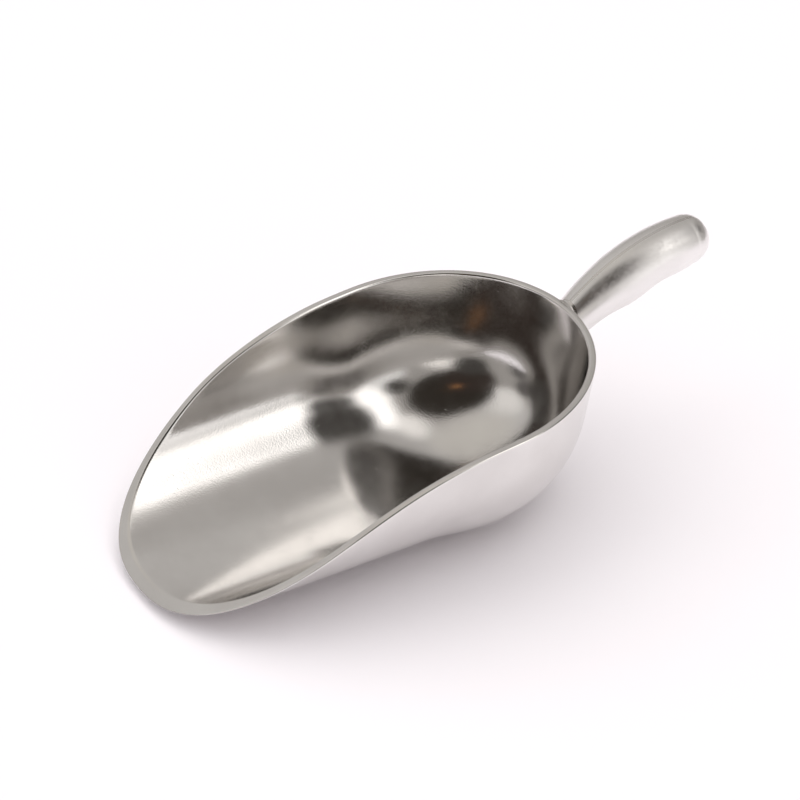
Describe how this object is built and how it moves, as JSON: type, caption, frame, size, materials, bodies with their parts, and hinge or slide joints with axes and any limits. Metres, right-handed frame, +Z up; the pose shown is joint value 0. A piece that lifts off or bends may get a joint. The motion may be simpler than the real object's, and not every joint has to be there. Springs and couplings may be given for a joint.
{
  "type": "ice scoop",
  "caption": "Deep trough-shaped metal scoop with a slanted open mouth and a hollow upswept grip, for ice and dry goods.",
  "frame": {"origin": "on the surface the scoop rests on, below the middle of its overall length", "axes": "+Y from the lip towards the grip, +Z up out of the bowl, X across; X = 0 is the mirror plane"},
  "size_m": [0.1212, 0.2742, 0.0958],
  "materials": {
    "bowl_metal": "polished, with a fine tumbled grain",
    "grip_metal": "satin polished",
    "weld_metal": "dressed flush and polished"
  },
  "bodies": {
    "root": {"bowl": "bowl_metal", "grip_shell_left": "grip_metal", "grip_shell_right": "grip_metal", "grip_seam_weld": "weld_metal", "root_weld": "weld_metal"}
  },
  "joints": []
}
